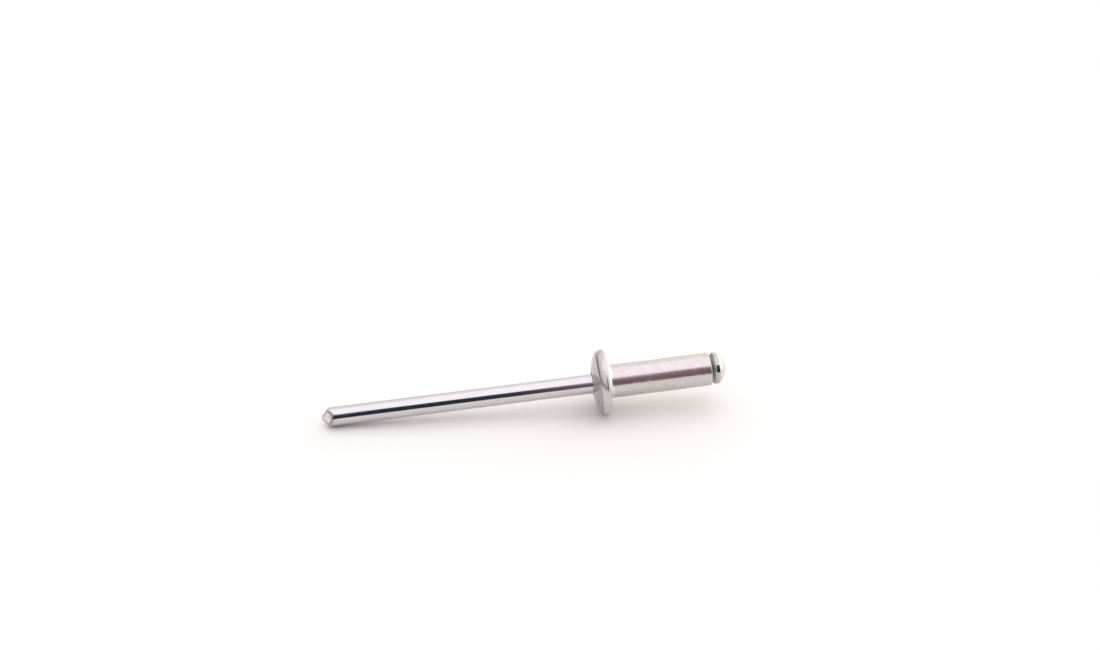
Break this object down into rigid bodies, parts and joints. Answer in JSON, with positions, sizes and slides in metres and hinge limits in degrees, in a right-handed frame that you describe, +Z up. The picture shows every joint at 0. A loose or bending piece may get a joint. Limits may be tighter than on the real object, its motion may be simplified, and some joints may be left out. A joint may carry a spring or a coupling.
{
  "type": "blind rivet",
  "caption": "Open-end blind rivet: a hollow aluminium body with a domed flange on a headed steel mandrel, whose pointed stem is pulled until its neck snaps.",
  "frame": {"origin": "centre of the flange's seat, on the rivet's axis", "axes": "+Z up, +X along the level surface that the rivet lies on, towards the blind end; the rivet's axis rises from +X by about five degrees"},
  "size_m": [0.0388, 0.0064, 0.0064],
  "materials": {
    "body_aluminium": "plain aluminium with a satin drawn surface",
    "mandrel_steel": "bright zinc plate, smooth"
  },
  "bodies": {
    "root": {"rivet_body": "body_aluminium", "mandrel": "mandrel_steel"}
  },
  "joints": []
}
